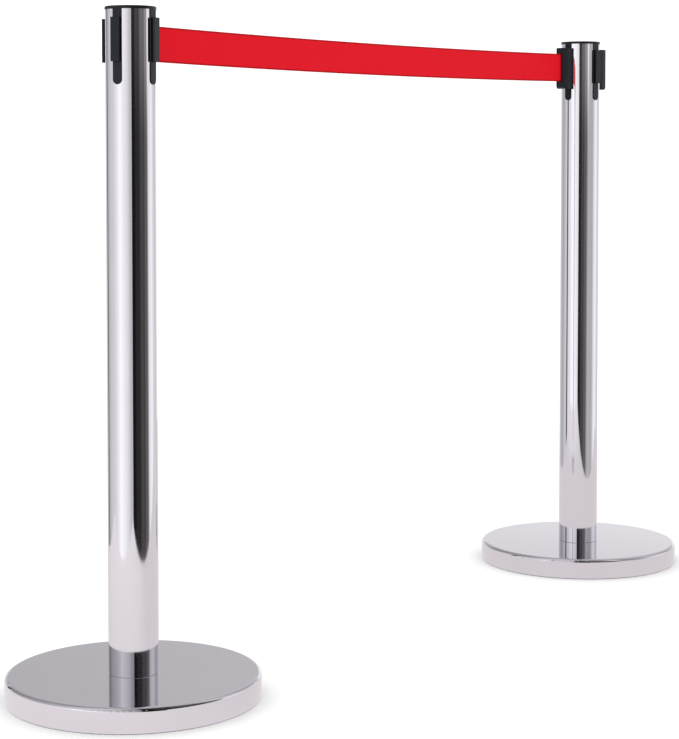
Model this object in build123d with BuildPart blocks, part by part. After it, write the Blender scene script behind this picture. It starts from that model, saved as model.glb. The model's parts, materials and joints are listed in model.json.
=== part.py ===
from build123d import *
import os
from math import acos, atan2, cos, degrees, pi, radians, sin, sqrt

# A linked pair of retractable belt stanchions, in millimetres, +Z up.
# The origin is on the floor, midway between the two posts. +X runs from the left post to the
# right one. The left post's belt is drawn out and hooked on the right post. The right post's own
# belt is wound in, with its clip parked in its outlet.

# ---- driving dimensions -------------------------------------------------------------------------
POST_SPACING = 1048
POST_HEIGHT = 862
LEFT_OUTLET_ANGLE = 14
RIGHT_OUTLET_ANGLE = -7
RAIL_ANGLES = (90, 180, 270)  # the three receivers, counted from a post's own outlet
HOOKED_RAIL_ANGLE = 180  # the right post's receiver that holds the left belt

BASE_DIAMETER = 320
BASE_HEIGHT = 32
COVER_WALL = 0.8
COVER_EDGE_RADIUS = 5
COVER_CLEARANCE = 1  # from the cover's hem to the floor
HEM_WIDTH = 2.4
HEM_HEIGHT = 2.8
HEM_EDGE_RADIUS = 0.9

TUBE_DIAMETER = 63
TUBE_WALL = 1.2
TUBE_FOOT_CHAMFER = 0.6
SLOT_LENGTH = 92.5  # from the tube's top edge down to the slot's round end
RIB_WIDTH = 12
RIB_PROUD = 1.1  # how far a receiver's rib stands out of the tube
OUTLET_RIB_PROUD = 0.5
SLIP = 0.2  # clearance between pieces that slide together once, at assembly

CAP_OVERHANG = 0.5
CAP_EDGE_RADIUS = 0.9
CAP_THICKNESS = 4

RAIL_TOP_DROP = 14.3  # from the post's top to the rail's top
RAIL_LENGTH = 54.2
RAIL_WIDTH = 12
RAIL_THICKNESS = 2.6
RAIL_CORNER_RADIUS = 0.8
NECK_WIDTH = 6
NECK_LENGTH = 2.6

BELT_WIDTH = 45
BELT_THICKNESS = 0.5
BELT_LENGTH = 2000
BELT_DROP = 21  # from the post's top to the belt's upper edge
BELT_SAG = 3.8
TAIL_LENGTH = 160  # the last stretch of belt before the hooked clip

CLIP_HEIGHT = 66.7
CLIP_DEPTH = 22.4  # from the channel's open back to the nose's tip
CLIP_WALL = 3
CLIP_ROOF = 3
CLIP_WEB = 2.8
CLIP_SIDE_GAP = 0.4  # clearance between a clip and its rail, on each side
CLIP_SEAT_GAP = 0.05  # between the clip's roof and the rail's top
LIP_THICKNESS = 1.6
NOSE_WIDTH = 13
NOSE_WALL = 1.5
NOSE_FOOT_RADIUS = 6
NOSE_HEAD_RADIUS = 2
CLIP_BULGE = 1.2  # how far the clip's sides stand out of a straight taper
CLIP_HEEL_RADIUS = 4.5
MOUTH_GAP = 0.5  # between the belt's edges and the nose's opening
CLIP_PIN_RADIUS = 1.5
CLIP_PIN_DEPTH = 14.4
CLIP_PIN_END = 3  # how far the clip's pin runs past the belt's edges
PARKED_GAP = 0.3  # between a parked clip and the outlet's face

SHAFT_RADIUS = 3
SHAFT_CHAMFER = 0.5
SHAFT_END_GAP = 0.5  # from the shaft's upper end to the lid's top
RUNNING_CLEARANCE = 0.05
BUSH_WALL = 1.45
BUSH_LENGTH = 8
CORE_RADIUS = 9
SPOOL_NECK_STEP = 1  # how far the spool's necks stand out past the core
FLANGE_RADIUS = 21.4
FLANGE_THICKNESS = 1.5
FLANGE_GAP = 1
CUP_RADIUS = 24
CUP_WALL = 1.5
ANCHOR_RADIUS = 1
ANCHOR_PLACE = 6.5  # from the spool's axis to the anchor pin's
CUT_MARGIN = 1  # how far a cut runs past what it cuts
GUIDE_PIN_RADIUS = 1.2
GUIDE_PIN_INSET = 2.4  # from the outlet's face to the guide pins' axes
GUIDE_PIN_OFFSET = 2
GUIDE_PIN_END = 3  # how far a guide pin runs into the moulding, above and below the slit
SLIT_WIDTH = 4
SLIT_GAP = 2  # above and below the belt
THROAT_WIDTH = 5.4  # the slit's wider, inner part
SPRING_THICKNESS = 0.3
SPRING_WIDTH = 18
SPRING_HALF_TURNS = 20

BOLT_RADIUS = 5
BOLT_END_GAP = 1  # from the bolt's end to the plug's top
BOLT_CHAMFER = 0.8
SCREW_COUNT = 4
SCREW_START = 45  # the first screw's angle from the outlet
SCREW_RADIUS = 1.2
SCREW_HEAD_RADIUS = 2.2
SCREW_HEAD_HEIGHT = 1.6
SCREW_TIP_GAP = 2  # from a screw's tip to its hole's end
RECESS_LENGTH = 2.6  # the cross in a screw's head
RECESS_WIDTH = 0.6
RECESS_DEPTH = 0.8
SCREW_EDGE = 2.8  # from the housing's inner wall to a screw's axis
BOSS_RADIUS = 3
BOSS_HEIGHT = 12

SHELL_WALL = 2.2
FLOOR_THICKNESS = 3
FLOOR_DROP = 9.5  # from the slots' lower ends to the housing's underside
LID_THICKNESS = 3
SPIGOT_WALL = 1.8
SPIGOT_HEIGHT = 6
END_PLAY = 1.2  # above and below the spool

WEIGHT_CLEARANCE = 2.2  # from the casting to the cover's skirt
WEIGHT_BOTTOM = 3
WEIGHT_PLATE_TOP = 15
WEIGHT_RIM_WIDTH = 10
WEIGHT_BOSS_RADIUS = 35
WEIGHT_RIB_COUNT = 6
WEIGHT_RIB_WIDTH = 8
WEIGHT_RIB_ROOT = 2  # how far each rib runs into the boss and the rim
RING_INSET = 7
RING_WIDTH = 8
RING_HEIGHT = 6
RING_EDGE_RADIUS = 0.8
WELL_RADIUS = 16
WASHER_RADIUS = 10.5
WASHER_THICKNESS = 2
LOCK_WASHER_RADIUS = 8.5
LOCK_WASHER_THICKNESS = 2.5
LOCK_WASHER_SLIT = 0.8
BOLT_HEAD_HEIGHT = 6.4
BOLT_HEAD_FLATS = 17
BOLT_HOLE_CLEARANCE = 0.5
PLUG_HEIGHT = 16
PLUG_CHAMFER = 1.5

# ---- sizes that follow --------------------------------------------------------------------------
COVER_OUTER = BASE_DIAMETER / 2
COVER_INNER = COVER_OUTER - COVER_WALL
COVER_UNDERSIDE = BASE_HEIGHT - COVER_WALL
BOLT_HOLE = BOLT_RADIUS + BOLT_HOLE_CLEARANCE
WEIGHT_RADIUS = COVER_INNER - WEIGHT_CLEARANCE
WEIGHT_RIM_TOP = BASE_HEIGHT - COVER_EDGE_RADIUS
RING_OUTER = WEIGHT_RADIUS - RING_INSET

TUBE_OUTER = TUBE_DIAMETER / 2
TUBE_INNER = TUBE_OUTER - TUBE_WALL
TUBE_TOP = POST_HEIGHT - CAP_THICKNESS
CAP_RADIUS = TUBE_OUTER + CAP_OVERHANG
SLOT_WIDTH = RIB_WIDTH + 2 * SLIP
SLOT_BOTTOM = TUBE_TOP - SLOT_LENGTH
RIB_FACE = TUBE_OUTER + RIB_PROUD
OUTLET_FACE = TUBE_OUTER + OUTLET_RIB_PROUD
GUIDE_PIN_REACH = OUTLET_FACE - GUIDE_PIN_INSET

SHELL_OUTER = TUBE_INNER - SLIP
SHELL_INNER = SHELL_OUTER - SHELL_WALL
SHELL_BOTTOM = SLOT_BOTTOM - FLOOR_DROP
SHELL_FLOOR = SHELL_BOTTOM + FLOOR_THICKNESS

RAIL_TOP = POST_HEIGHT - RAIL_TOP_DROP
RAIL_MIDDLE = RAIL_TOP - RAIL_LENGTH / 2
RAIL_BACK = RIB_FACE + NECK_LENGTH
RAIL_FACE = RAIL_BACK + RAIL_THICKNESS

BELT_TOP = POST_HEIGHT - BELT_DROP
BELT_MIDDLE = BELT_TOP - BELT_WIDTH / 2
BELT_BOTTOM = BELT_TOP - BELT_WIDTH
SLIT_HEIGHT = BELT_WIDTH + 2 * SLIT_GAP

# The clip's depths are counted from its channel's open back, which stands at CLIP_BACK when the
# clip is hooked.
CLIP_BACK = RIB_FACE - CLIP_SIDE_GAP
CLIP_TOP = RAIL_TOP + CLIP_SEAT_GAP + CLIP_ROOF
LIP_END = RAIL_BACK - CLIP_SIDE_GAP / 2 - CLIP_BACK
LIP_START = LIP_END - LIP_THICKNESS
WEB_START = RAIL_FACE + CLIP_SIDE_GAP - CLIP_BACK
WEB_END = WEB_START + CLIP_WEB
CHANNEL_HALF = RAIL_WIDTH / 2 + CLIP_SIDE_GAP
CLIP_HALF = CHANNEL_HALF + CLIP_WALL
LIP_HALF = NECK_WIDTH / 2 + CLIP_SIDE_GAP
PARKED_REACH = OUTLET_FACE + PARKED_GAP + CLIP_DEPTH

FLANGE_LOW = BELT_BOTTOM - FLANGE_GAP
FLANGE_HIGH = BELT_TOP + FLANGE_GAP
CUP_BOTTOM = SHELL_FLOOR + END_PLAY + CUP_WALL
CUP_CEILING = CUP_BOTTOM + SPRING_WIDTH + 2 * END_PLAY
CUP_TOP = CUP_CEILING + CUP_WALL
NECK_RADIUS = CORE_RADIUS + SPOOL_NECK_STEP
BUSH_INNER = SHAFT_RADIUS + RUNNING_CLEARANCE
BUSH_OUTER = BUSH_INNER + BUSH_WALL
SPOOL_BORE = SHAFT_RADIUS + 2 * SLIP
SPOOL_TOP = FLANGE_HIGH + FLANGE_THICKNESS + END_PLAY

LID_BOTTOM = SPOOL_TOP + END_PLAY
LID_TOP = LID_BOTTOM + LID_THICKNESS
SCREW_CIRCLE = SHELL_INNER - SCREW_EDGE
SPIGOT_RADIUS = SHELL_INNER - SLIP


def wound_radius(length):
    """Outer radius of a length of belt wound on the core."""
    return sqrt(CORE_RADIUS**2 + length * BELT_THICKNESS / pi)


class Post:
    """Where one stanchion stands, and which way its belt outlet faces."""

    def __init__(self, side, x, outlet_angle):
        self.side = side
        self.outlet_angle = outlet_angle
        self.floor = Plane(origin=(x, 0, 0), x_dir=self.radial(0), z_dir=(0, 0, 1))
        self.axis = Axis((x, 0, 0), (0, 0, 1))

    def radial(self, angle):
        turn = radians(self.outlet_angle + angle)
        return Vector(cos(turn), sin(turn), 0)

    def level(self, height):
        """A horizontal plane: x towards the outlet."""
        return self.floor.offset(height)

    def section(self, angle=0):
        """An upright plane through the axis: x is radius, y is height."""
        return Plane(origin=self.floor.origin, x_dir=self.radial(angle), z_dir=self.radial(angle - 90))

    def side_plane(self, angle, radius):
        """An upright plane that faces outward: x is sideways, y is height."""
        origin = self.floor.origin + self.radial(angle) * radius
        return Plane(origin=origin, x_dir=self.radial(angle + 90), z_dir=self.radial(angle))


def keep(piece, name):
    """Label one finished piece and write its STEP file."""
    piece.part.label = name
    export_step(piece.part, f"parts/{name}.step")


def ring(radius, inner, bottom, top, post):
    """A plain turned ring, in the current part."""
    with BuildSketch(post.level(bottom)) as outline:
        Circle(radius)
        Circle(inner, mode=Mode.SUBTRACT)
    extrude(outline.sketch, amount=top - bottom)


# ---- base ---------------------------------------------------------------------------------------
def base_cover(post):
    """Spun stainless dish: flat top, small round edge, straight skirt and a rolled hem."""
    outer = COVER_OUTER
    inner = COVER_INNER
    hem_top = COVER_CLEARANCE + HEM_HEIGHT
    bend = COVER_EDGE_RADIUS
    with BuildPart() as cover:
        with BuildSketch(post.section()):
            with BuildLine():
                Line((BOLT_HOLE, BASE_HEIGHT), (outer - bend, BASE_HEIGHT))
                RadiusArc((outer - bend, BASE_HEIGHT), (outer, BASE_HEIGHT - bend), bend)
                Line((outer, BASE_HEIGHT - bend), (outer, COVER_CLEARANCE))
                Line((outer, COVER_CLEARANCE), (outer - HEM_WIDTH, COVER_CLEARANCE))
                Line((outer - HEM_WIDTH, COVER_CLEARANCE), (outer - HEM_WIDTH, hem_top))
                Line((outer - HEM_WIDTH, hem_top), (inner, hem_top))
                Line((inner, hem_top), (inner, BASE_HEIGHT - bend))
                RadiusArc((inner, BASE_HEIGHT - bend), (outer - bend, COVER_UNDERSIDE), COVER_WALL - bend)
                Line((outer - bend, COVER_UNDERSIDE), (BOLT_HOLE, COVER_UNDERSIDE))
                Line((BOLT_HOLE, COVER_UNDERSIDE), (BOLT_HOLE, BASE_HEIGHT))
            make_face()
        revolve(axis=post.axis)
        hem_edges = cover.edges().filter_by(GeomType.CIRCLE).group_by(Axis.Z)[0]
        fillet(hem_edges, radius=HEM_EDGE_RADIUS)
    keep(cover, f"base_cover_{post.side}")


def base_weight(post):
    """Iron casting under the cover: plate, rim, centre boss and radial ribs."""
    with BuildPart() as weight:
        ring(WEIGHT_RADIUS, BOLT_HOLE, WEIGHT_BOTTOM, WEIGHT_PLATE_TOP, post)
        ring(WEIGHT_RADIUS, WEIGHT_RADIUS - WEIGHT_RIM_WIDTH, WEIGHT_PLATE_TOP, WEIGHT_RIM_TOP, post)
        ring(WEIGHT_BOSS_RADIUS, BOLT_HOLE, WEIGHT_PLATE_TOP, COVER_UNDERSIDE, post)
        rib_inner = WEIGHT_BOSS_RADIUS - WEIGHT_RIB_ROOT
        rib_outer = WEIGHT_RADIUS - WEIGHT_RIM_WIDTH + WEIGHT_RIB_ROOT
        with BuildSketch(post.level(WEIGHT_PLATE_TOP)):
            with PolarLocations((rib_inner + rib_outer) / 2, WEIGHT_RIB_COUNT):
                Rectangle(rib_outer - rib_inner, WEIGHT_RIB_WIDTH)
        extrude(amount=WEIGHT_RIM_TOP - WEIGHT_PLATE_TOP)
        with BuildSketch(post.level(WEIGHT_BOTTOM)):
            Circle(RING_OUTER)
            Circle(RING_OUTER - RING_WIDTH, mode=Mode.SUBTRACT)
        extrude(amount=RING_HEIGHT - WEIGHT_BOTTOM, mode=Mode.SUBTRACT)
        with BuildSketch(post.level(WEIGHT_BOTTOM)):
            Circle(WELL_RADIUS)
        extrude(amount=WEIGHT_PLATE_TOP - WEIGHT_BOTTOM, mode=Mode.SUBTRACT)
    keep(weight, f"base_weight_{post.side}")


def floor_ring(post):
    """Rubber ring that the post stands on, set in the casting's groove."""
    with BuildPart() as rubber:
        ring(RING_OUTER, RING_OUTER - RING_WIDTH, 0, RING_HEIGHT, post)
        fillet(rubber.edges().group_by(Axis.Z)[0], radius=RING_EDGE_RADIUS)
    keep(rubber, f"floor_ring_{post.side}")


def fixing_bolt(post):
    """Hexagon bolt that pulls the tube's plug down on the base, with its two washers."""
    washer_bottom = WEIGHT_PLATE_TOP - WASHER_THICKNESS
    lock_bottom = washer_bottom - LOCK_WASHER_THICKNESS
    head_bottom = lock_bottom - BOLT_HEAD_HEIGHT
    with BuildPart() as bolt:
        with BuildSketch(post.level(head_bottom)):
            RegularPolygon(BOLT_HEAD_FLATS / 2, 6, major_radius=False)
        extrude(amount=BOLT_HEAD_HEIGHT)
        with BuildSketch(post.level(lock_bottom)):
            Circle(BOLT_RADIUS)
        extrude(amount=BASE_HEIGHT + PLUG_HEIGHT - BOLT_END_GAP - lock_bottom)
        chamfer(bolt.edges().group_by(Axis.Z)[-1], length=BOLT_CHAMFER)
    keep(bolt, f"fixing_bolt_{post.side}")
    with BuildPart() as washer:
        ring(WASHER_RADIUS, BOLT_RADIUS, washer_bottom, WEIGHT_PLATE_TOP, post)
    keep(washer, f"bolt_washer_{post.side}")
    with BuildPart() as lock_washer:
        with BuildSketch(post.level(lock_bottom)):
            Circle(LOCK_WASHER_RADIUS)
            Circle(BOLT_RADIUS, mode=Mode.SUBTRACT)
            with Locations((LOCK_WASHER_RADIUS, 0)):
                Rectangle(LOCK_WASHER_RADIUS, LOCK_WASHER_SLIT, mode=Mode.SUBTRACT)
        extrude(amount=LOCK_WASHER_THICKNESS)
    keep(lock_washer, f"lock_washer_{post.side}")


def tube_plug(post):
    """Threaded steel disc welded in the foot of the tube."""
    with BuildPart() as plug:
        ring(TUBE_INNER, BOLT_RADIUS, BASE_HEIGHT, BASE_HEIGHT + PLUG_HEIGHT, post)
        chamfer(plug.edges().group_by(Axis.Z)[-1].sort_by(SortBy.RADIUS)[-1], length=PLUG_CHAMFER)
    keep(plug, f"tube_plug_{post.side}")


# ---- tube and head ------------------------------------------------------------------------------
def slot_outline(width, bottom, top):
    """A vertical slot with a round lower end and an open top, in the current sketch."""
    with Locations((0, (bottom + width / 2 + top) / 2)):
        Rectangle(width, top - bottom - width / 2)
    with Locations((0, bottom + width / 2)):
        Circle(width / 2)


def post_tube(post):
    """Stainless tube with four slots cut down from its top edge."""
    with BuildPart() as tube:
        ring(TUBE_OUTER, TUBE_INNER, BASE_HEIGHT, TUBE_TOP, post)
        foot = tube.edges().filter_by(GeomType.CIRCLE).group_by(Axis.Z)[0].sort_by(SortBy.RADIUS)[-1]
        chamfer(foot, length=TUBE_FOOT_CHAMFER)
        for angle in (0, *RAIL_ANGLES):
            with BuildSketch(post.side_plane(angle, TUBE_INNER / 2)):
                slot_outline(SLOT_WIDTH, SLOT_BOTTOM, TUBE_TOP + SLOT_WIDTH)
            extrude(amount=TUBE_OUTER, mode=Mode.SUBTRACT)
    keep(tube, f"post_tube_{post.side}")


def rib(post, angle, face):
    """One upright rib that fills a slot of the tube, in the current part."""
    with BuildSketch(post.side_plane(angle, SHELL_INNER + SHELL_WALL / 2)) as outline:
        slot_outline(RIB_WIDTH, SLOT_BOTTOM + SLIP, TUBE_TOP)
    extrude(outline.sketch, amount=face - SHELL_INNER - SHELL_WALL / 2)


def receiver_rail(post, angle):
    """T-shaped rail on one rib, in the current part."""
    with BuildSketch(post.side_plane(angle, RIB_FACE - SLIP)) as neck:
        with Locations((0, RAIL_MIDDLE)):
            Rectangle(NECK_WIDTH, RAIL_LENGTH)
    extrude(neck.sketch, amount=NECK_LENGTH + 2 * SLIP)
    with BuildSketch(post.side_plane(angle, RAIL_BACK)) as flange:
        with Locations((0, RAIL_MIDDLE)):
            RectangleRounded(RAIL_WIDTH, RAIL_LENGTH, RAIL_CORNER_RADIUS)
    extrude(flange.sketch, amount=RAIL_THICKNESS)


def screw_rods(post, radius, bottom, top, mode=Mode.ADD):
    """One upright round rod at each of the lid's screws, in the current part."""
    with BuildSketch(post.level(bottom)) as outline:
        with PolarLocations(SCREW_CIRCLE, SCREW_COUNT, start_angle=SCREW_START):
            Circle(radius)
    extrude(outline.sketch, amount=top - bottom, mode=mode)


def guide_pin_outline():
    """The two guide pins on the plan, in the current sketch."""
    with Locations((GUIDE_PIN_REACH, GUIDE_PIN_OFFSET), (GUIDE_PIN_REACH, -GUIDE_PIN_OFFSET)):
        Circle(GUIDE_PIN_RADIUS)


def cassette_body(post):
    """Moulded housing: shell, floor, four ribs, three receiver rails and the outlet's slit."""
    slit_low = BELT_MIDDLE - SLIT_HEIGHT / 2
    with BuildPart() as body:
        ring(SHELL_OUTER, SHELL_INNER, SHELL_BOTTOM, TUBE_TOP, post)
        ring(SHELL_INNER + SHELL_WALL / 2, SHAFT_RADIUS, SHELL_BOTTOM, SHELL_FLOOR, post)
        rib(post, 0, OUTLET_FACE)
        for angle in RAIL_ANGLES:
            rib(post, angle, RIB_FACE)
            receiver_rail(post, angle)
        with BuildSketch(post.side_plane(0, SHELL_INNER - CUT_MARGIN)):
            with Locations((0, BELT_MIDDLE)):
                Rectangle(THROAT_WIDTH, SLIT_HEIGHT)
        extrude(amount=GUIDE_PIN_REACH - SHELL_INNER + CUT_MARGIN, mode=Mode.SUBTRACT)
        with BuildSketch(post.side_plane(0, GUIDE_PIN_REACH)):
            with Locations((0, BELT_MIDDLE)):
                Rectangle(SLIT_WIDTH, SLIT_HEIGHT)
        extrude(amount=OUTLET_FACE, mode=Mode.SUBTRACT)
        with BuildSketch(post.level(slit_low - GUIDE_PIN_END)):
            guide_pin_outline()
        extrude(amount=SLIT_HEIGHT + 2 * GUIDE_PIN_END, mode=Mode.SUBTRACT)
        screw_rods(post, BOSS_RADIUS, LID_BOTTOM - BOSS_HEIGHT, LID_BOTTOM)
        screw_rods(post, SCREW_RADIUS, LID_BOTTOM - BOSS_HEIGHT, LID_BOTTOM, Mode.SUBTRACT)
    keep(body, f"cassette_body_{post.side}")


def cassette_lid(post):
    """Disc that closes the reel chamber and holds the shaft's upper end, with its screws."""
    with BuildPart() as lid:
        ring(SHELL_INNER - SLIP, SHAFT_RADIUS, LID_BOTTOM, LID_TOP, post)
        screw_rods(post, SCREW_RADIUS, LID_BOTTOM, LID_TOP, Mode.SUBTRACT)
    keep(lid, f"cassette_lid_{post.side}")
    with BuildPart() as screws:
        screw_rods(post, SCREW_RADIUS, LID_BOTTOM - BOSS_HEIGHT + SCREW_TIP_GAP, LID_TOP)
        screw_rods(post, SCREW_HEAD_RADIUS, LID_TOP, LID_TOP + SCREW_HEAD_HEIGHT)
        with BuildSketch(post.level(LID_TOP + SCREW_HEAD_HEIGHT - RECESS_DEPTH)):
            with PolarLocations(SCREW_CIRCLE, SCREW_COUNT, start_angle=SCREW_START):
                Rectangle(RECESS_LENGTH, RECESS_WIDTH)
                Rectangle(RECESS_WIDTH, RECESS_LENGTH)
        extrude(amount=RECESS_DEPTH, mode=Mode.SUBTRACT)
    keep(screws, f"lid_screws_{post.side}")


def top_cap(post):
    """Thin round cap on the tube, with a short spigot inside the housing."""
    with BuildPart() as cap:
        with BuildSketch(post.level(TUBE_TOP)):
            Circle(CAP_RADIUS)
        extrude(amount=CAP_THICKNESS)
        fillet(cap.edges().group_by(Axis.Z)[-1], radius=CAP_EDGE_RADIUS)
        ring(SPIGOT_RADIUS, SPIGOT_RADIUS - SPIGOT_WALL, TUBE_TOP - SPIGOT_HEIGHT, TUBE_TOP, post)
    keep(cap, f"top_cap_{post.side}")


# ---- reel ---------------------------------------------------------------------------------------
def spool(post):
    """Moulded spool: belt core between two flanges, and the spring's cup below."""
    cup_inner = CUP_RADIUS - CUP_WALL
    with BuildPart() as reel:
        with BuildSketch(post.section()):
            with BuildLine():
                Polyline(
                    (BUSH_OUTER, CUP_CEILING),
                    (cup_inner, CUP_CEILING),
                    (cup_inner, CUP_BOTTOM),
                    (CUP_RADIUS, CUP_BOTTOM),
                    (CUP_RADIUS, CUP_TOP),
                    (NECK_RADIUS, CUP_TOP),
                    (NECK_RADIUS, FLANGE_LOW - FLANGE_THICKNESS),
                    (FLANGE_RADIUS, FLANGE_LOW - FLANGE_THICKNESS),
                    (FLANGE_RADIUS, FLANGE_LOW),
                    (CORE_RADIUS, FLANGE_LOW),
                    (CORE_RADIUS, FLANGE_HIGH),
                    (FLANGE_RADIUS, FLANGE_HIGH),
                    (FLANGE_RADIUS, FLANGE_HIGH + FLANGE_THICKNESS),
                    (NECK_RADIUS, FLANGE_HIGH + FLANGE_THICKNESS),
                    (NECK_RADIUS, SPOOL_TOP),
                    (BUSH_OUTER, SPOOL_TOP),
                    (BUSH_OUTER, SPOOL_TOP - BUSH_LENGTH),
                    (SPOOL_BORE, SPOOL_TOP - BUSH_LENGTH),
                    (SPOOL_BORE, CUP_CEILING + BUSH_LENGTH),
                    (BUSH_OUTER, CUP_CEILING + BUSH_LENGTH),
                    close=True,
                )
            make_face()
        revolve(axis=post.axis)
        with BuildSketch(post.level(FLANGE_LOW)):
            with Locations((ANCHOR_PLACE, 0)):
                Circle(ANCHOR_RADIUS)
            with Locations(((ANCHOR_PLACE + CORE_RADIUS + CUT_MARGIN) / 2, 0)):
                Rectangle(CORE_RADIUS + CUT_MARGIN - ANCHOR_PLACE, 2 * BELT_THICKNESS + SLIP)
        extrude(amount=FLANGE_HIGH - FLANGE_LOW, mode=Mode.SUBTRACT)
    keep(reel, f"spool_{post.side}")


def spool_bushes(post):
    """Two plain bushes pressed in the spool's ends."""
    with BuildPart() as bushes:
        ring(BUSH_OUTER, BUSH_INNER, CUP_CEILING, CUP_CEILING + BUSH_LENGTH, post)
        ring(BUSH_OUTER, BUSH_INNER, SPOOL_TOP - BUSH_LENGTH, SPOOL_TOP, post)
    keep(bushes, f"spool_bushes_{post.side}")


def spool_shaft(post):
    """Fixed steel shaft from the housing's floor to its lid."""
    with BuildPart() as shaft:
        with BuildSketch(post.level(SHELL_BOTTOM)):
            Circle(SHAFT_RADIUS)
        extrude(amount=LID_TOP - SHAFT_END_GAP - SHELL_BOTTOM)
        chamfer(shaft.edges().group_by(Axis.Z)[-1], length=SHAFT_CHAMFER)
    keep(shaft, f"spool_shaft_{post.side}")


def power_spring(post):
    """Flat spiral spring from the shaft out to the cup's wall, drawn with half circles."""
    half = SPRING_THICKNESS / 2
    first = SHAFT_RADIUS + half
    last = CUP_RADIUS - CUP_WALL - half
    step = (last - first) / SPRING_HALF_TURNS
    bottom = CUP_BOTTOM + END_PLAY
    with BuildPart() as spring:
        with BuildSketch(post.level(bottom)):
            with BuildLine():
                for turn in range(SPRING_HALF_TURNS):
                    centre = (step * (turn % 2), 0)
                    start = 180 * (turn % 2)
                    radius = first + step * turn
                    CenterArc(centre, radius - half, start, 180)
                    CenterArc(centre, radius + half, start, 180)
                Line((first - half, 0), (first + half, 0))
                Line((last - half, 0), (last + half, 0))
            make_face()
        extrude(amount=SPRING_WIDTH)
    keep(spring, f"power_spring_{post.side}")


def spring_cover(post):
    """Disc that closes the spring's cup from below."""
    with BuildPart() as cover:
        ring(CUP_RADIUS, SPOOL_BORE, CUP_BOTTOM - CUP_WALL, CUP_BOTTOM, post)
    keep(cover, f"spring_cover_{post.side}")


def guide_pins(post):
    """Two polished pins that the belt runs out between."""
    with BuildPart() as pins:
        with BuildSketch(post.level(BELT_MIDDLE - SLIT_HEIGHT / 2 - GUIDE_PIN_END)):
            guide_pin_outline()
        extrude(amount=SLIT_HEIGHT + 2 * GUIDE_PIN_END)
    keep(pins, f"guide_pins_{post.side}")


def anchor_pin(post):
    """Pin in the core that holds the belt's inner end."""
    with BuildPart() as pin:
        with BuildSketch(post.level(FLANGE_LOW)):
            with Locations((ANCHOR_PLACE, 0)):
                Circle(ANCHOR_RADIUS)
        extrude(amount=FLANGE_HIGH - FLANGE_LOW)
    keep(pin, f"anchor_pin_{post.side}")


# ---- belt ---------------------------------------------------------------------------------------
def belt_roll(post, length):
    """The wound part of the belt, as one ring."""
    with BuildPart() as roll:
        ring(wound_radius(length), CORE_RADIUS, BELT_BOTTOM, BELT_TOP, post)
    keep(roll, f"belt_roll_{post.side}")


def belt_lead(wound, exit_angle):
    """Two points on the plan: where the belt leaves its roll, and its bend at the guide pin."""
    pin = Vector(GUIDE_PIN_REACH, -GUIDE_PIN_OFFSET)
    clear = GUIDE_PIN_RADIUS + BELT_THICKNESS / 2 + RUNNING_CLEARANCE
    path = wound + BELT_THICKNESS / 2
    pin_angle = degrees(atan2(pin.Y, pin.X))
    leave_angle = pin_angle - degrees(acos((path + clear) / pin.length))
    leave = Vector(path, 0).rotate(Axis.Z, leave_angle)
    bisector = (leave_angle + 90 + exit_angle) / 2
    half_turn = (leave_angle + 90 - exit_angle) / 2
    corner = pin + Vector(0, clear / cos(radians(half_turn))).rotate(Axis.Z, bisector)
    return leave, corner


def flat_strip(post, start, end):
    """A straight upright strip of belt between two points of the plan, in the current part."""
    run = end - start
    middle = (start + end) * 0.5
    turn = degrees(atan2(run.Y, run.X))
    with BuildSketch(post.level(BELT_BOTTOM)) as outline:
        with Locations(Location((middle.X, middle.Y, 0), (0, 0, turn))):
            Rectangle(run.length + BELT_THICKNESS, BELT_THICKNESS)
    extrude(outline.sketch, amount=BELT_WIDTH)


def sagging_strip(start, end, first, last):
    """A strip from one fraction of the span to another, hanging in a bow, in the current part."""
    run = end - start
    plane = Plane(origin=start, x_dir=run, z_dir=run.normalized().cross(Vector(0, 0, 1)))
    half = BELT_WIDTH / 2
    middle = (first + last) / 2

    def place(fraction, offset):
        dip = 4 * BELT_SAG * fraction * (1 - fraction)
        return (run.length * fraction, offset - dip)

    with BuildSketch(plane.offset(-BELT_THICKNESS / 2)) as outline:
        with BuildLine():
            ThreePointArc(place(first, half), place(middle, half), place(last, half))
            Line(place(last, half), place(last, -half))
            ThreePointArc(place(last, -half), place(middle, -half), place(first, -half))
            Line(place(first, -half), place(first, half))
        make_face()
    extrude(outline.sketch, amount=BELT_THICKNESS)


def belt_out(post, hooked, wound):
    """The belt that is drawn out: its long run, and its tail before the hooked clip."""
    leave, corner = belt_lead(wound, -post.outlet_angle)
    start = post.level(BELT_MIDDLE).from_local_coords(corner)
    pin = hooked.offset(CLIP_PIN_DEPTH).origin
    end = Vector(pin.X - CLIP_PIN_RADIUS - RUNNING_CLEARANCE, pin.Y, BELT_MIDDLE)
    tail_start = 1 - TAIL_LENGTH / (end - start).length
    with BuildPart() as run:
        flat_strip(post, leave, corner)
        sagging_strip(start, end, 0, tail_start)
    keep(run, f"belt_run_{post.side}")
    with BuildPart() as tail:
        sagging_strip(start, end, tail_start, 1)
    keep(tail, f"belt_tail_{post.side}")


def belt_in(post, wound):
    """The short stretch of a wound-in belt, from its roll to the parked clip's pin."""
    leave, corner = belt_lead(wound, 0)
    pin_face = PARKED_REACH - CLIP_PIN_DEPTH - CLIP_PIN_RADIUS - RUNNING_CLEARANCE
    with BuildPart() as stub:
        flat_strip(post, leave, corner)
        flat_strip(post, corner, Vector(pin_face - BELT_THICKNESS, corner.Y))
    keep(stub, f"belt_stub_{post.side}")


# ---- clip ---------------------------------------------------------------------------------------
def clip_block(frame, depths, sides, heights, mode=Mode.ADD):
    """A block of the clip: depths from the channel's open back, heights from the clip's top."""
    with BuildSketch(frame.offset(depths[0])) as outline:
        with Locations(((sides[0] + sides[1]) / 2, (heights[0] + heights[1]) / 2)):
            Rectangle(abs(sides[1] - sides[0]), heights[1] - heights[0])
    extrude(outline.sketch, amount=depths[1] - depths[0], mode=mode)


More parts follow.
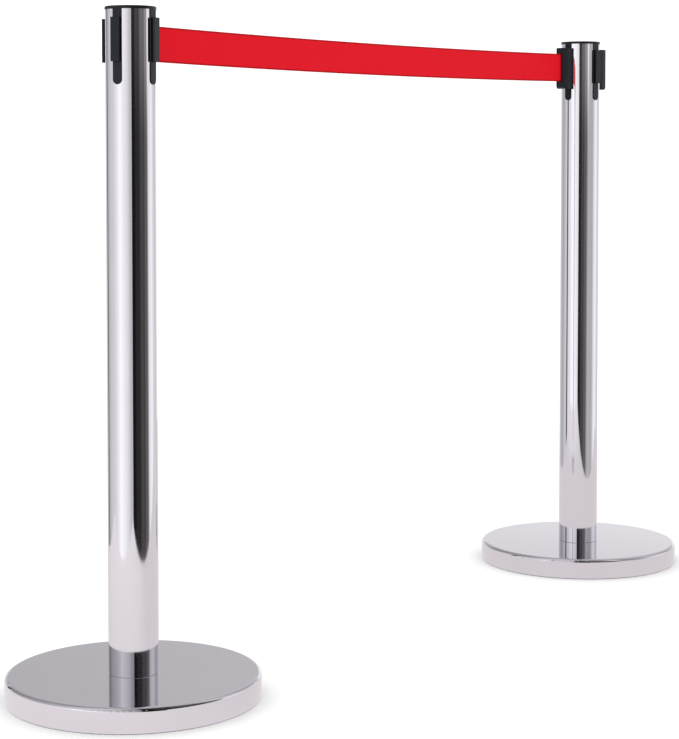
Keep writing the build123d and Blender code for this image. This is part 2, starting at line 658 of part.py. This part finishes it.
def clip_plan(frame):
    """The horizontal plane under the clip: x is depth towards the nose, y is sideways."""
    origin = frame.origin - Vector(0, 0, CLIP_HEIGHT)
    return Plane(origin=origin, x_dir=frame.z_dir, z_dir=(0, 0, 1))


def clip_outline(nose):
    """The clip seen from above, in the current sketch: bulging sides that narrow to the nose."""
    half_depth = (LIP_END + CLIP_DEPTH) / 2
    half_width = (CLIP_HALF + nose) / 2 + CLIP_BULGE
    with BuildLine() as outline:
        Line((0, -CLIP_HALF), (0, CLIP_HALF))
        Line((0, CLIP_HALF), (LIP_END, CLIP_HALF))
        ThreePointArc((LIP_END, CLIP_HALF), (half_depth, half_width), (CLIP_DEPTH, nose))
        Line((CLIP_DEPTH, nose), (CLIP_DEPTH, -nose))
        ThreePointArc((CLIP_DEPTH, -nose), (half_depth, -half_width), (LIP_END, -CLIP_HALF))
        Line((LIP_END, -CLIP_HALF), (0, -CLIP_HALF))
    make_face(outline.edges())


def clip_pin_outline(frame):
    """The clip's pin on the plan, in a sketch on a horizontal plane."""
    pin = frame.offset(CLIP_PIN_DEPTH).origin
    with Locations((pin.X, pin.Y)):
        Circle(CLIP_PIN_RADIUS)


def belt_clip(frame, side):
    """Moulded clip: a roofed channel that drops over a rail, and a nose that holds the belt's end.

    frame is upright: its origin is at the channel's open back and the clip's top, z is towards
    the nose, and y is up.
    """
    full = (-CLIP_HEIGHT, 0)
    nose = NOSE_WIDTH / 2
    mouth = nose - NOSE_WALL
    mouth_low = BELT_BOTTOM - MOUTH_GAP - CLIP_TOP
    mouth_high = BELT_TOP + MOUTH_GAP - CLIP_TOP
    with BuildPart() as clip:
        with BuildSketch(clip_plan(frame)):
            clip_outline(nose)
        extrude(amount=CLIP_HEIGHT)
        heel = clip.faces().sort_by(Axis(frame.origin, frame.z_dir))[0].edges().sort_by(Axis.Z)
        fillet(heel[0], radius=CLIP_HEEL_RADIUS)
        tip = clip.faces().sort_by(Axis(frame.origin, frame.z_dir))[-1].edges().sort_by(Axis.Z)
        fillet(tip[0], radius=NOSE_FOOT_RADIUS)
        tip = clip.faces().sort_by(Axis(frame.origin, frame.z_dir))[-1].edges().sort_by(Axis.Z)
        fillet(tip[-1], radius=NOSE_HEAD_RADIUS)
        below_roof = (-CLIP_HEIGHT, -CLIP_ROOF)
        channel = (-CHANNEL_HALF, CHANNEL_HALF)
        clip_block(frame, (LIP_END, WEB_START), channel, below_roof, Mode.SUBTRACT)
        clip_block(frame, (0, LIP_START), channel, full, Mode.SUBTRACT)
        clip_block(frame, (0, LIP_END), (-LIP_HALF, LIP_HALF), below_roof, Mode.SUBTRACT)
        opening = (mouth_low, mouth_high)
        clip_block(frame, (WEB_END, CLIP_DEPTH), (-mouth, mouth), opening, Mode.SUBTRACT)
        with BuildSketch(Plane.XY.offset(BELT_BOTTOM - CLIP_PIN_END)):
            clip_pin_outline(frame)
        extrude(amount=BELT_WIDTH + 2 * CLIP_PIN_END, mode=Mode.SUBTRACT)
    keep(clip, f"belt_clip_{side}")


def clip_pin(frame, side):
    """Steel pin through the clip's nose, which the belt's end loops round."""
    with BuildPart() as pin:
        with BuildSketch(Plane.XY.offset(BELT_BOTTOM - CLIP_PIN_END)):
            clip_pin_outline(frame)
        extrude(amount=BELT_WIDTH + 2 * CLIP_PIN_END)
    keep(pin, f"clip_pin_{side}")


def clip_frame(post, angle, reach, outward):
    """An upright plane at the clip's top, where its channel's open back stands."""
    plane = post.side_plane(angle, reach)
    turn = 1 if outward else -1
    return Plane(
        origin=plane.origin + Vector(0, 0, CLIP_TOP),
        x_dir=plane.x_dir * turn,
        z_dir=plane.z_dir * turn,
    )


def build():
    os.makedirs("parts", exist_ok=True)
    left = Post("left", -POST_SPACING / 2, LEFT_OUTLET_ANGLE)
    right = Post("right", POST_SPACING / 2, RIGHT_OUTLET_ANGLE)
    wound_in = {"left": BELT_LENGTH - POST_SPACING, "right": BELT_LENGTH}
    for post in (left, right):
        base_cover(post)
        base_weight(post)
        floor_ring(post)
        fixing_bolt(post)
        tube_plug(post)
        post_tube(post)
        cassette_body(post)
        cassette_lid(post)
        top_cap(post)
        spool(post)
        spool_bushes(post)
        spool_shaft(post)
        power_spring(post)
        spring_cover(post)
        guide_pins(post)
        anchor_pin(post)
        belt_roll(post, wound_in[post.side])
    hooked = clip_frame(right, HOOKED_RAIL_ANGLE, CLIP_BACK, outward=True)
    parked = clip_frame(right, 0, PARKED_REACH, outward=False)
    belt_out(left, hooked, wound_radius(wound_in["left"]))
    belt_in(right, wound_radius(wound_in["right"]))
    belt_clip(hooked, "left")
    clip_pin(hooked, "left")
    belt_clip(parked, "right")
    clip_pin(parked, "right")


build()
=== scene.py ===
import json
import math

import bmesh
import bpy
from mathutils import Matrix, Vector


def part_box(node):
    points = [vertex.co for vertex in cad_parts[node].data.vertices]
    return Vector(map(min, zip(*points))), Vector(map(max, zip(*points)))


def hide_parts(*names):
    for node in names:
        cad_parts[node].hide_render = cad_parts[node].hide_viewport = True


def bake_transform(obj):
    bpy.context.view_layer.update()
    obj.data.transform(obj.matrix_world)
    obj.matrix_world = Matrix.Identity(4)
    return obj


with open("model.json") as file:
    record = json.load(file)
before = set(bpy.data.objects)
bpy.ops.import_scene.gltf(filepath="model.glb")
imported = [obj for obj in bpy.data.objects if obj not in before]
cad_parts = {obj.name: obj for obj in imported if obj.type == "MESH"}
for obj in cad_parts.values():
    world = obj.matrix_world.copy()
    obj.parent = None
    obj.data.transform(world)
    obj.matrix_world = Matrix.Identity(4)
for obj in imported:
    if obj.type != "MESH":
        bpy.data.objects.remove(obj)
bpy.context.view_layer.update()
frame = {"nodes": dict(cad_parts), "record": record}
NODES = frame["nodes"]


# ---- places, all worked out from the frame -----------------------------------------------------
def centre(node):
    low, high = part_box(node)
    return (low + high) / 2


# ---- camera ------------------------------------------------------------------------------------
# Fitted to the photo as a level camera, then turned 2.7 degrees down for the other views' sake.
LENS = 94.27
SENSOR_WIDTH = 36
CLIP_END = 100  # farther than the studio reaches, in metres
CAMERA_PLACE = Vector((-2.2309, -1.7053, 0.690))
CAMERA_HEADING = Vector((0.7781, 0.6264, -0.0466))
CAMERA_SHIFT = -0.18


def add_camera():
    data = bpy.data.cameras.new("camera")
    data.lens = LENS
    data.sensor_width = SENSOR_WIDTH
    data.shift_y = CAMERA_SHIFT
    data.clip_end = CLIP_END
    camera = bpy.data.objects.new("camera", data)
    camera.location = CAMERA_PLACE
    camera.rotation_mode = "QUATERNION"
    camera.rotation_quaternion = CAMERA_HEADING.to_track_quat("-Z", "Y")
    bpy.context.scene.collection.objects.link(camera)
    bpy.context.scene.camera = camera


# ---- materials ---------------------------------------------------------------------------------
class Shader:
    """One node material, with short calls for the nodes that it needs."""

    def __init__(self, name, **inputs):
        self.material = bpy.data.materials.new(name)
        self.material.use_nodes = True
        self.tree = self.material.node_tree
        self.surface = self.tree.nodes["Principled BSDF"]
        for key, value in inputs.items():
            self.surface.inputs[key.replace("_", " ")].default_value = value

    def node(self, kind, links=(), **settings):
        made = self.tree.nodes.new(kind)
        for key, value in settings.items():
            if hasattr(made, key):
                setattr(made, key, value)
            else:
                made.inputs[key.replace("_", " ")].default_value = value
        for key, output in dict(links).items():
            self.tree.links.new(output, made.inputs[key])
        return made

    def place(self, scale):
        """The point in the object, stretched by scale."""
        point = self.node("ShaderNodeTexCoord").outputs["Object"]
        mapping = self.node("ShaderNodeMapping", {"Vector": point})
        mapping.inputs["Scale"].default_value = scale
        return mapping.outputs["Vector"]

    def noise(self, scale, detail=4, stretch=(1, 1, 1)):
        return self.node(
            "ShaderNodeTexNoise", {"Vector": self.place(stretch)}, Scale=scale, Detail=detail
        ).outputs["Fac"]

    def span(self, value, low, high):
        """A 0 to 1 value moved to low to high."""
        return self.node(
            "ShaderNodeMapRange", {"Value": value}, To_Min=low, To_Max=high
        ).outputs["Result"]

    def feed(self, key, output):
        self.tree.links.new(output, self.surface.inputs[key])

    def gloss(self, value, low, spread):
        """Roughness from low to low + spread, by value."""
        self.feed("Roughness", self.span(value, low, low + spread))

    def bump(self, height, strength, distance):
        made = self.node("ShaderNodeBump", {"Height": height}, Strength=strength, Distance=distance)
        self.feed("Normal", made.outputs["Normal"])

    def tint(self, value, dark, light):
        """Colour between dark and light by value."""
        mix = self.node("ShaderNodeMix", {"Factor": value}, data_type="RGBA")
        mix.inputs["A"].default_value = (*dark, 1)
        mix.inputs["B"].default_value = (*light, 1)
        self.feed("Base Color", mix.outputs["Result"])


STEEL = (0.770, 0.740, 0.795), (0.830, 0.800, 0.855)  # a faint lilac cast


def polished_steel(name, polish, marks):
    """Mirror stainless: faint polishing marks, and a slow wander in the gloss."""
    shader = Shader(name, Metallic=1.0)
    shader.tint(shader.noise(scale=9, detail=3), *STEEL)
    shader.gloss(shader.noise(scale=40, detail=5), polish, spread=0.035)
    shader.bump(shader.noise(scale=900, detail=2, stretch=marks), strength=0.02, distance=0.00005)
    return shader.material


def plastic(name, dark, light, roughness):
    """Satin moulded plastic with a fine spark-eroded grain."""
    shader = Shader(name, Specular_IOR_Level=0.3)
    shader.surface.inputs["Specular Tint"].default_value = (0.84, 0.90, 1.0, 1)
    shader.tint(shader.noise(scale=30), dark, light)
    shader.gloss(shader.noise(scale=120), roughness, spread=0.08)
    shader.bump(shader.noise(scale=2600, detail=3), strength=0.12, distance=0.00006)
    return shader.material


def plated_steel(name, dark, light, roughness):
    """Plated or plain worked metal, a little uneven in colour and gloss."""
    shader = Shader(name, Metallic=1.0)
    shader.tint(shader.noise(scale=60, detail=5), dark, light)
    shader.gloss(shader.noise(scale=160), roughness, spread=0.15)
    shader.bump(shader.noise(scale=700, detail=3), strength=0.1, distance=0.0001)
    return shader.material


def casting(name):
    """Rough dark cast iron."""
    shader = Shader(name, Metallic=0.4)
    shader.tint(shader.noise(scale=25, detail=6), (0.035, 0.035, 0.036), (0.075, 0.073, 0.072))
    shader.gloss(shader.noise(scale=90, detail=5), 0.6, spread=0.25)
    shader.bump(shader.noise(scale=420, detail=8), strength=0.5, distance=0.0006)
    return shader.material


def rubber(name):
    """Matt black rubber."""
    shader = Shader(name)
    shader.tint(shader.noise(scale=40), (0.012, 0.012, 0.012), (0.03, 0.03, 0.03))
    shader.gloss(shader.noise(scale=80), 0.65, spread=0.20)
    shader.bump(shader.noise(scale=900), strength=0.25, distance=0.0002)
    return shader.material


THREAD_PITCH = 0.0011  # between ribs of the weave, along the belt's width
WEFT_PITCH = 0.0008  # between threads across it, along the belt's length
WAVE_RATE = 20  # radians that Blender's wave texture turns in a unit at scale 1


def webbing(name, dark, light):
    """Woven polyester: warp ribs crossed by weft threads, with a soft sheen."""
    shader = Shader(name, Specular_IOR_Level=0.05, Sheen_Weight=0.01, Sheen_Roughness=0.4)
    shader.surface.inputs["Sheen Tint"].default_value = (1.0, 0.2, 0.2, 1)
    warp = shader.node(
        "ShaderNodeTexWave", {"Vector": shader.place((0, 0, 1))},
        Scale=math.tau / THREAD_PITCH / WAVE_RATE, bands_direction="Z", Distortion=0.0,
    ).outputs["Fac"]
    weft = shader.node(
        "ShaderNodeTexWave", {"Vector": shader.place((1, 0, 0))},
        Scale=math.tau / WEFT_PITCH / WAVE_RATE, bands_direction="X", Distortion=0.0,
    ).outputs["Fac"]
    weave = shader.node("ShaderNodeMath", operation="MULTIPLY")
    shader.tree.links.new(warp, weave.inputs[0])
    shader.tree.links.new(weft, weave.inputs[1])
    shader.tint(weave.outputs[0], dark, light)
    shader.gloss(shader.noise(scale=60), 0.5, spread=0.15)
    shader.bump(weave.outputs[0], strength=0.2, distance=0.0001)
    return shader.material


MATERIALS = {
    "tube_steel": polished_steel("tube_steel", 0.035, (1, 1, 0.05)),
    "base_steel": polished_steel("base_steel", 0.05, (1, 1, 1)),
    "black_plastic": plastic("black_plastic", (0.004, 0.004, 0.006), (0.009, 0.009, 0.012), 0.27),
    "clip_plastic": plastic("clip_plastic", (0.004, 0.004, 0.006), (0.010, 0.010, 0.013), 0.24),
    "cap_plastic": plastic("cap_plastic", (0.005, 0.005, 0.006), (0.011, 0.011, 0.013), 0.30),
    "grey_plastic": plastic("grey_plastic", (0.20, 0.20, 0.21), (0.26, 0.26, 0.27), 0.45),
    "zinc_steel": plated_steel("zinc_steel", (0.50, 0.51, 0.53), (0.62, 0.63, 0.65), 0.28),
    "spring_steel": plated_steel("spring_steel", (0.18, 0.20, 0.26), (0.28, 0.30, 0.36), 0.3),
    "bronze": plated_steel("bronze", (0.42, 0.26, 0.11), (0.55, 0.36, 0.17), 0.4),
    "cast_iron": casting("cast_iron"),
    "rubber": rubber("rubber"),
    "belt": webbing("belt", (0.60, 0.004, 0.013), (0.77, 0.008, 0.021)),
}
SELVEDGE = webbing("selvedge", (0.36, 0.002, 0.005), (0.47, 0.003, 0.008))


def paint_nodes():
    for row in frame["record"]["subparts"]:
        data = NODES[row["node"]].data
        data.materials.clear()
        data.materials.append(MATERIALS[row["material_slot"]])


BELT_ROWS = 12
SELVEDGE_WIDTH = 0.0022
SELVEDGE_PROUD = 0.0001  # how far the selvedge stands out from the weave on each face
SHARP_ANGLE = math.radians(40)  # edges bent by more than this are shaded as corners
ROW_MATCH = 0.001  # a row this near the selvedge's inner line is on it, in half widths


def band(name, points, half_width, half_thickness):
    """A closed thin belt, its width upright, along the points of its middle line."""
    mesh = bmesh.new()
    rows = [-1 + 2 * row / BELT_ROWS for row in range(BELT_ROWS + 1)]
    edge = 1 - SELVEDGE_WIDTH / half_width
    rows = sorted(set(rows[1:-1]) | {-1, 1, -edge, edge})
    sides = []
    for way in (1, -1):
        columns = []
        for index, point in enumerate(points):
            ahead = points[min(index + 1, len(points) - 1)] - points[max(index - 1, 0)]
            across = Vector((ahead.y, -ahead.x, 0)).normalized()
            column = []
            for row in rows:
                proud = SELVEDGE_PROUD if abs(row) > edge - ROW_MATCH else 0
                offset = across * way * (half_thickness + proud)
                column.append(mesh.verts.new(point + offset + Vector((0, 0, row * half_width))))
            columns.append(column)
        sides.append(columns)
    for way, columns in zip((1, -1), sides):
        for first, second in zip(columns, columns[1:]):
            for row in range(len(rows) - 1):
                face = [first[row], second[row], second[row + 1], first[row + 1]]
                made = mesh.faces.new(face if way > 0 else face[::-1])
                made.material_index = 1 if row in (0, len(rows) - 2) else 0
                made.smooth = True
    front, back = sides
    for edge_row in (0, -1):
        for index in range(len(points) - 1):
            corners = [front[index], front[index + 1], back[index + 1], back[index]]
            mesh.faces.new([column[edge_row] for column in corners]).material_index = 1
    for index in (0, -1):
        for row in range(len(rows) - 1):
            corners = [front[index][row], front[index][row + 1], back[index][row + 1], back[index][row]]
            mesh.faces.new(corners)
    bmesh.ops.recalc_face_normals(mesh, faces=mesh.faces)
    for edge in mesh.edges:
        edge.smooth = edge.calc_face_angle() < SHARP_ANGLE
    data = bpy.data.meshes.new(name)
    mesh.to_mesh(data)
    mesh.free()
    made = bpy.data.objects.new(name, data)
    bpy.context.scene.collection.objects.link(made)
    data.materials.append(MATERIALS["belt"])
    data.materials.append(SELVEDGE)
    return made


BELT_HALF_THICKNESS = 0.00025
BELT_SAG = 0.0038
COLUMN_STEP = 0.008  # spacing of a straight belt's columns, in metres
BENDING_STEP = 0.004  # the same, for the tail that bends
STUB_STEP = 0.00012  # the same, for the parked stub
SWING_POWER = 3  # how late along the tail its line swings over to the side of the pin


def sagging(start, end, sag, first=0.0, last=1.0, step=COLUMN_STEP):
    """Points of a belt that hangs in a shallow bow, from one fraction of its span to another."""
    count = max(2, round((end - start).length * (last - first) / step))
    points = []
    for index in range(count + 1):
        fraction = first + (last - first) * index / count
        dip = 4 * sag * fraction * (1 - fraction)
        points.append(start.lerp(end, fraction) - Vector((0, 0, dip)))
    return points


LOOP_GAP = 0.0001  # between the pin and the belt round it
LOOP_RETURN = 0.006  # the loop's sewn end, back along the belt
LOOP_STEPS = 24
LOOP_LIE, LOOP_TIP_LIE = 0.5, 0.4  # the returning end's offset in radii, and the share left at its tip


def pin_loop(pin_node, inward):
    """Points of a belt's end: round the clip's pin, and back beside itself.

    inward is the level direction in which the belt arrives at the pin.
    """
    low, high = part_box(pin_node)
    pin = (low + high) / 2
    radius = (high.x - low.x) / 2 + BELT_HALF_THICKNESS + LOOP_GAP
    side = Vector((inward.y, -inward.x, 0))
    points = []
    for index in range(LOOP_STEPS + 1):
        angle = math.pi * index / LOOP_STEPS
        points.append(pin + side * (radius * math.cos(angle)) + inward * (radius * math.sin(angle)))
    lie = -side * (radius * LOOP_LIE)
    points.append(pin - inward * (LOOP_RETURN / 2) + lie)
    points.append(pin - inward * LOOP_RETURN + lie * LOOP_TIP_LIE)
    return points


def hung_belt():
    """The left post's belt: its long run, and the tail that lifts with the hooked clip."""
    tail_low, tail_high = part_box("belt_tail_left")
    roll_low, roll_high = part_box("belt_roll_left")
    width = roll_high.z - roll_low.z
    height = (roll_low.z + roll_high.z) / 2
    start = centre("guide_pins_left")
    start.z = height
    end = Vector((tail_high.x, centre("belt_tail_left").y, height))
    split = (tail_low.x - start.x) / (end.x - start.x)
    run = band("belt_run", sagging(start, end, BELT_SAG, 0, split), width / 2, BELT_HALF_THICKNESS)
    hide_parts("belt_run_left")
    loop = pin_loop("clip_pin_left", (end - start).normalized())
    for point in loop:
        point.z = height
    shift = loop[0] - end
    hanging = sagging(start, end, BELT_SAG, split, 1, BENDING_STEP)
    for index, point in enumerate(hanging):
        point += Vector((shift.x, shift.y, 0)) * (index / (len(hanging) - 1)) ** SWING_POWER
    tail = band("belt_tail", hanging + loop[1:], width / 2, BELT_HALF_THICKNESS)
    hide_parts("belt_tail_left")
    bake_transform(run)
    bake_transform(tail)


def parked_belt():
    """The right post's belt, wound in: the stretch from its guide pins to the parked clip."""
    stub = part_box("belt_stub_right")
    height = (stub[0].z + stub[1].z) / 2
    start = centre("guide_pins_right")
    end = centre("clip_pin_right")
    start.z = end.z = height
    loop = pin_loop("clip_pin_right", (end - start).normalized())
    points = sagging(start, loop[0], 0, step=STUB_STEP) + loop[1:]
    piece = band("belt_stub", points, (stub[1].z - stub[0].z) / 2, BELT_HALF_THICKNESS)
    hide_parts("belt_stub_right")
    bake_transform(piece)


# ---- studio ------------------------------------------------------------------------------------
RANGE_KEYS = ("From Min", "From Max", "To Min", "To Max")
FLOOR_REACH = 9  # from the middle of the visible floor to its sides, in metres
FLOOR_WHITE = 0.95
# The floor that the steel reflects is a glowing platform, lighter at its left end.
PLATFORM_LOW, PLATFORM_HIGH = Vector((-1.40, -0.85, 0)), Vector((1.90, 0.95, 0))
PLATFORM_DROP = 0.0004  # below the floor that the eye sees
PLATFORM_LEVELS = ((0, 0.92), (1, 0.76), (0.12, 0.88), (0.20, 0.86), (0.30, 0.76))
# A dark curtain beside the line of sight and a dark strip behind the left post, seen in the tubes.
CURTAIN_NEAR, CURTAIN_FAR = Vector((-1.333, -0.867, 0)), Vector((0.387, -1.300, 0))
STRIP_PLACE, STRIP_HALF = Vector((-0.537, 1.060, 0)), Vector((0.110, 0.097, 0))
CARD_BOTTOM, CARD_TOP = -1.6, 2.2
LIGHTER_FROM_TO = (0.600, 0.665)  # shares of a card's height between which it grows lighter
CURTAIN_GAIN = 2.4
STRIP_LEVELS = ((0, 0.80), (1, 0.80), (0.22, 0.10), (0.80, 0.06))
CURTAIN_LEVELS = (
    (0, 0.006), (0.15, 0.012), (0.22, 0.030), (0.33, 0.024), (0.40, 0.050), (0.50, 0.085), (0.60, 0.055),
    (0.70, 0.13), (0.84, 0.13), (0.93, 0.36), (1, 0.55),
)
WHITE = 1.22  # brightness of the world for the eye and for matte surfaces
COOL, WARM = 1.01, 1.03  # gains of the world's blue, and of the red in what glows
# Between these upward slopes the world in the steel dims to this share.
DIMMER_FROM, DIMMER_TO, DIMMER_SHARE = 0.15, 0.255, 0.60
# Brightness of the world seen in the steel, by the angle from the direction back to the camera.
SURROUND = (
    (-180, 0.95), (-140, 0.60), (-125, 0.46), (-106, 0.68), (-85, 0.78), (-66, 0.94), (-48, 1.24),
    (-34, 1.12), (-20, 0.98), (-8, 0.80), (0, 0.60), (74, 0.50), (86, 0.85), (96, 1.05), (108, 1.10),
    (122, 0.78), (138, 0.72), (158, 1.10), (180, 0.95),
)


def add_world():
    """White to the camera and to matte surfaces; a banded studio in the steel."""
    world = bpy.data.worlds.new("studio")
    bpy.context.scene.world = world
    world.use_nodes = True
    tree = world.node_tree
    background = tree.nodes["Background"]

    def add(kind, links=(), **settings):
        made = tree.nodes.new(kind)
        for key, value in settings.items():
            setattr(made, key, value)
        for key, output in dict(links).items():
            tree.links.new(output, made.inputs[key])
        return made

    direction = add("ShaderNodeTexCoord").outputs["Generated"]
    turned = add("ShaderNodeVectorRotate", {"Vector": direction}, rotation_type="Z_AXIS")
    toward_camera = math.atan2(-CAMERA_HEADING.y, -CAMERA_HEADING.x)
    turned.inputs["Angle"].default_value = -toward_camera
    angle = add("ShaderNodeTexGradient", {"Vector": turned.outputs["Vector"]}, gradient_type="RADIAL")
    ramp_node = add("ShaderNodeValToRGB", {"Fac": angle.outputs["Fac"]})
    ramp = ramp_node.color_ramp
    while len(ramp.elements) > 1:
        ramp.elements.remove(ramp.elements[-1])
    for index, (degrees, level) in enumerate(SURROUND):
        place = (degrees + 180) / 360
        stop = ramp.elements[0] if index == 0 else ramp.elements.new(place)
        stop.position = place
        stop.color = (level, level, level * COOL, 1)
    height = add("ShaderNodeSeparateXYZ", {"Vector": direction}).outputs["Z"]
    upper = add("ShaderNodeMapRange", {"Value": height}, interpolation_type="SMOOTHSTEP")
    for key, value in zip(RANGE_KEYS, (DIMMER_FROM, DIMMER_TO, 1.0, DIMMER_SHARE)):
        upper.inputs[key].default_value = value
    shaded = add("ShaderNodeVectorMath", {0: ramp_node.outputs["Color"]}, operation="SCALE")
    tree.links.new(upper.outputs["Result"], shaded.inputs["Scale"])
    path = add("ShaderNodeLightPath")
    mix = add("ShaderNodeMix", {"Factor": path.outputs["Is Glossy Ray"]}, data_type="RGBA")
    mix.inputs["A"].default_value = (WHITE, WHITE, WHITE, 1)
    tree.links.new(shaded.outputs["Vector"], mix.inputs["B"])
    tree.links.new(mix.outputs["Result"], background.inputs["Color"])


def quad(name, corners, material):
    data = bpy.data.meshes.new(name)
    data.from_pydata(corners, [], [(0, 1, 2, 3)])
    made = bpy.data.objects.new(name, data)
    bpy.context.scene.collection.objects.link(made)
    data.materials.append(material)
    return made


def level_quad(name, low, high, height, material):
    places = ((low.x, low.y), (high.x, low.y), (high.x, high.y), (low.x, high.y))
    return quad(name, [(x, y, height) for x, y in places], material)


def add_floor():
    """A pale floor for the eye, and its smaller twin that the steel reflects."""
    shader = Shader("floor", Roughness=0.9, Specular_IOR_Level=0.0)
    shader.surface.inputs["Base Color"].default_value = (FLOOR_WHITE, FLOOR_WHITE, FLOOR_WHITE, 1)
    reach = Vector((FLOOR_REACH, FLOOR_REACH, 0))
    floor = level_quad("floor", -reach, reach, 0, shader.material)
    floor.visible_glossy = False
    mirrored = level_quad("floor_mirrored", PLATFORM_LOW, PLATFORM_HIGH, -PLATFORM_DROP,
                          glow_material("floor_glow", PLATFORM_LEVELS))
    only_in_steel(mirrored)


def glow_material(name, stops, gain_above=1.0):
    """A plain glow: (place, level) stops along X, made gain_above times as bright near the top."""
    material = bpy.data.materials.new(name)
    material.use_nodes = True
    tree = material.node_tree
    tree.nodes.clear()
    ramp = tree.nodes.new("ShaderNodeValToRGB")
    coordinate = tree.nodes.new("ShaderNodeTexCoord")
    split = tree.nodes.new("ShaderNodeSeparateXYZ")
    glow = tree.nodes.new("ShaderNodeEmission")
    output = tree.nodes.new("ShaderNodeOutputMaterial")
    tree.links.new(coordinate.outputs["Generated"], split.inputs["Vector"])
    tree.links.new(split.outputs["X"], ramp.inputs["Fac"])
    tree.links.new(ramp.outputs["Color"], glow.inputs["Color"])
    tree.links.new(glow.outputs["Emission"], output.inputs["Surface"])
    rise = tree.nodes.new("ShaderNodeMapRange")
    rise.interpolation_type = "SMOOTHSTEP"
    for key, value in zip(RANGE_KEYS, (*LIGHTER_FROM_TO, 1.0, gain_above)):
        rise.inputs[key].default_value = value
    tree.links.new(split.outputs["Z"], rise.inputs["Value"])
    tree.links.new(rise.outputs["Result"], glow.inputs["Strength"])
    for index, (place, level) in enumerate(stops):
        stop = ramp.color_ramp.elements[index] if index < 2 else ramp.color_ramp.elements.new(place)
        stop.position = place
        stop.color = (level * WARM, level, level, 1)
    return material


def only_in_steel(card):
    card.visible_camera = card.visible_diffuse = card.visible_shadow = card.visible_transmission = False


def standing_card(name, near, far, stops, gain_above=1.0):
    """An upright card, only for the steel to reflect."""
    bottom, top = Vector((0, 0, CARD_BOTTOM)), Vector((0, 0, CARD_TOP))
    corners = [near + bottom, far + bottom, far + top, near + top]
    only_in_steel(quad(name, corners, glow_material(name, stops, gain_above)))


def add_cards():
    standing_card("curtain", CURTAIN_NEAR, CURTAIN_FAR, CURTAIN_LEVELS, CURTAIN_GAIN)
    standing_card("dark_strip", STRIP_PLACE - STRIP_HALF, STRIP_PLACE + STRIP_HALF, STRIP_LEVELS)


add_camera()
add_world()
add_floor()
add_cards()
bpy.context.scene.view_settings.view_transform = "Standard"
paint_nodes()
hung_belt()
parked_belt()
